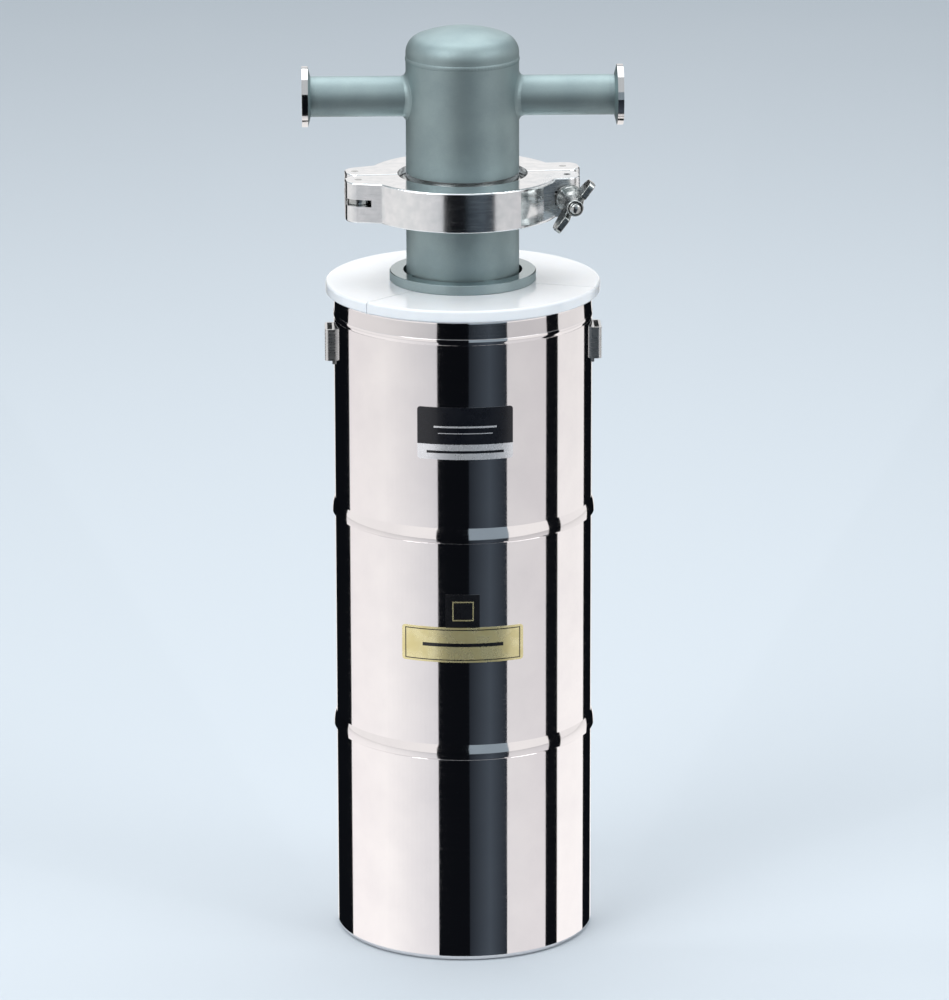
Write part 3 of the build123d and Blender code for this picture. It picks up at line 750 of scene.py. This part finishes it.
# Tumbled aluminium: near white, soft mirror, scratched in fine lines round the clamp that are
# drawn at 0.35 mm so that they show. The pocket behind the nut keeps its duller casting skin.
tumbled_aluminium, shader = surface("tumbled_aluminium", Metallic=1.0)
scratch = streaks(tumbled_aluminium, 0.35, 9, detail=4)
patch = grain(tumbled_aluminium, 5, detail=3)
link(
    tumbled_aluminium,
    tint(
        tumbled_aluminium,
        spread(tumbled_aluminium, patch.outputs["Fac"], 0, 1),
        "#f3f5f6",
        "#e4e8ea",
    ),
    shader.inputs["Base Color"],
)
joints = {joint["name"]: joint for joint in frame["joints"]}
nut_seat = Vector(joints["nut_turn"]["pos_m"])
place = add(tumbled_aluminium, "TexCoord")
away = add(
    tumbled_aluminium,
    "VectorMath",
    {0: place.outputs["Object"], 1: nut_seat},
    operation="DISTANCE",
)
pocket = spread(tumbled_aluminium, away.outputs["Value"], 1, 0, 17 * MM, 27 * MM)
polish = spread(tumbled_aluminium, scratch.outputs["Fac"], 0.1, 0.2)
skin = spread(tumbled_aluminium, scratch.outputs["Fac"], 0.2, 0.32)
roughness = add(tumbled_aluminium, "Mix", {0: pocket, 2: polish, 3: skin}, data_type="FLOAT")
link(tumbled_aluminium, roughness.outputs[0], shader.inputs["Roughness"])
relief(
    tumbled_aluminium, shader, [(patch.outputs["Fac"], 0.004), (scratch.outputs["Fac"], 0.0009)]
)
finish_nodes(tumbled_aluminium, "clamp_back", "clamp_front")

# Zinc plated steel: a cool grey with soft highlights, and faint spangle about 1.2 mm across.
plated_steel, shader = surface("zinc_plated_steel", Metallic=1.0)
spangle = grain(plated_steel, 1.2, detail=4)
link(
    plated_steel,
    tint(plated_steel, spread(plated_steel, spangle.outputs["Fac"], 0, 1), "#c4c7c6", "#a6aaa9"),
    shader.inputs["Base Color"],
)
link(
    plated_steel,
    spread(plated_steel, spangle.outputs["Fac"], 0.16, 0.3),
    shader.inputs["Roughness"],
)
relief(plated_steel, shader, [(spangle.outputs["Fac"], 0.012)])
finish_nodes(plated_steel, "link_plate", "hinge_pins", "pivot_pin", "nut_washer")

# ------------------------------------------------------------------ Swing bolt
# An M6 eye bolt, forged and then rolled with a 1 mm pitch thread. Its eye turns on the pivot pin in
# the back half of the clamp, so the bolt swings out once the nut is backed off.
bolt_pivot = Vector(joints["bolt_swing"]["pos_m"])
bolt_way = Vector(joints["nut_turn"]["axis"])
nut_length = 22.0 * MM
bolt_length = (nut_seat - bolt_pivot).length + nut_length + 1.2 * MM
bolt_radius = 3.0 * MM
thread_pitch = 1.0 * MM
thread_depth = 0.55 * MM
thread_start = 13.0 * MM
bolt_chamfer = 0.7 * MM
bolt_slack = 0.02 * MM
bolt_segments = 32
steps_per_turn = 8
eye_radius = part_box("swing_bolt")[1].y - bolt_pivot.y
eye_half = (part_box("swing_bolt")[1].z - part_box("swing_bolt")[0].z) / 2
eye_bore = (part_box("pivot_pin")[1].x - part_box("pivot_pin")[0].x) / 2 + 0.05 * MM
eye_edge = 0.6 * MM
eye_steps = 64


def lathe(bm, base, axis, stations, segments, radius):
    """Closed round solid along an axis, from a radius for each distance and angle."""
    across = axis.orthogonal().normalized()
    over = axis.cross(across)
    rings = []
    for distance in stations:
        ring = []
        for step in range(segments):
            angle = 2 * pi * step / segments
            spoke = across * cos(angle) + over * sin(angle)
            ring.append(bm.verts.new(base + axis * distance + spoke * radius(distance, angle)))
        rings.append(ring)
    for first, second in zip(rings, rings[1:]):
        for here in range(segments):
            there = (here + 1) % segments
            bm.faces.new((first[here], first[there], second[there], second[here]))
    bm.faces.new(rings[0])
    bm.faces.new(rings[-1])


def thread_radius(distance, angle):
    """Crest and root of the thread, which fades in at its start and out at the chamfered end."""
    turn = distance / thread_pitch - angle / (2 * pi)
    wave = abs(2 * (turn - floor(turn)) - 1)
    fade = min(1, max(0, (distance - thread_start) / thread_pitch))
    end = max(0, bolt_chamfer - (bolt_length - distance))
    return bolt_radius - bolt_slack - thread_depth * fade * wave - end


bm = bmesh.new()
turns = int((bolt_length - thread_start) / thread_pitch)
shank = [4.5 * MM, 8 * MM, thread_start]
threaded = [
    thread_start + thread_pitch * step / steps_per_turn
    for step in range(1, turns * steps_per_turn)
]
lathe(bm, bolt_pivot, bolt_way, shank + threaded + [bolt_length], bolt_segments, thread_radius)
eye_outline = [
    (eye_bore, eye_half - eye_edge / 2),
    (eye_bore + eye_edge / 2, eye_half),
    (eye_radius - eye_edge, eye_half),
    (eye_radius - eye_edge * 0.3, eye_half - eye_edge * 0.3),
    (eye_radius, eye_half - eye_edge),
]
eye_outline += [(reach, -height) for reach, height in reversed(eye_outline)]
eye_sections = []
for step in range(eye_steps):
    angle = 2 * pi * step / eye_steps
    outward = Vector((cos(angle), sin(angle), 0))
    eye_sections.append(
        [bolt_pivot + outward * reach + Vector((0, 0, height)) for reach, height in eye_outline]
    )
ring_faces(bm, eye_sections)
eye_bolt = mesh_piece("threaded_eye_bolt", bm, plated_steel)
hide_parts("swing_bolt")
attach(eye_bolt, "bolt")

# ------------------------------------------------------------------ Wing nut
# One steel casting: a round flange that bears on the washer, a long barrel, and two flat wings
# whose edges the barrel tumbler has rounded. It is zinc plated like the bolt.
wing_angle = radians(53.0)
wing_tip = 15.0 * MM
wing_thickness = 3.2 * MM
wing_corner = 2.6 * MM
barrel_radius = 4.2 * MM
flange_radius = 6.8 * MM
nut_bore = 3.25 * MM
cast_voxel = 0.28 * MM
barrel_steps = 72

level = Vector((0, 0, 1))
beside = level.cross(bolt_way)
wing_way = (beside * cos(wing_angle) + level * sin(wing_angle)).normalized()
wing_normal = wing_way.cross(bolt_way).normalized()

barrel_outline = (
    (nut_bore, 0.0),
    (flange_radius - 0.4 * MM, 0.0),
    (flange_radius, 0.5 * MM),
    (flange_radius, 2.6 * MM),
    (flange_radius - 0.5 * MM, 3.2 * MM),
    (barrel_radius + 0.8 * MM, 6.5 * MM),
    (barrel_radius, 10.0 * MM),
    (barrel_radius, nut_length - 0.5 * MM),
    (barrel_radius - 0.4 * MM, nut_length),
    (nut_bore + 0.3 * MM, nut_length),
    (nut_bore, nut_length - 0.4 * MM),
)
bm = bmesh.new()
barrel_sections = []
for step in range(barrel_steps):
    angle = 2 * pi * step / barrel_steps
    spoke = wing_way * cos(angle) + wing_normal * sin(angle)
    barrel_sections.append(
        [nut_seat + spoke * reach + bolt_way * along for reach, along in barrel_outline]
    )
ring_faces(bm, barrel_sections)

wing_root = barrel_radius - 0.5 * MM
wing_outline = (
    (wing_root, 7.0 * MM),
    (barrel_radius + 1.0 * MM, 7.2 * MM),
    (wing_tip, 12.5 * MM),
    (wing_tip, nut_length - 0.1 * MM),
    (barrel_radius + 2.2 * MM, nut_length - 0.1 * MM),
    (barrel_radius + 0.4 * MM, 18.5 * MM),
    (wing_root, 18.2 * MM),
)
for side in (-1, 1):
    corners = [
        bm.verts.new(
            nut_seat
            + wing_way * side * reach
            + bolt_way * along
            - wing_normal * wing_thickness / 2
        )
        for reach, along in wing_outline
    ]
    bm.faces.new(corners)
    tips = [corners[2], corners[3]]
    bmesh.ops.bevel(
        bm, geom=tips, offset=wing_corner, segments=6, affect="VERTICES", profile=0.5
    )
    outline = [face for face in bm.faces if len(face.verts) > 6][-1]
    grown = bmesh.ops.extrude_face_region(bm, geom=[outline])
    moved = [item for item in grown["geom"] if isinstance(item, bmesh.types.BMVert)]
    bmesh.ops.translate(bm, verts=moved, vec=wing_normal * wing_thickness)

casting = mesh_piece("cast_wing_nut", bm, plated_steel)
remesh = casting.modifiers.new("one_casting", "REMESH")
remesh.mode = "VOXEL"
remesh.voxel_size = cast_voxel
remesh.use_smooth_shade = True
tumbling = casting.modifiers.new("tumbled_edges", "SMOOTH")
tumbling.factor = 0.5
tumbling.iterations = 4
depsgraph = bpy.context.evaluated_depsgraph_get()
finished = bpy.data.meshes.new_from_object(casting.evaluated_get(depsgraph))
casting.modifiers.clear()
casting.data = finished
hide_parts("wing_nut")
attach(casting, "nut")
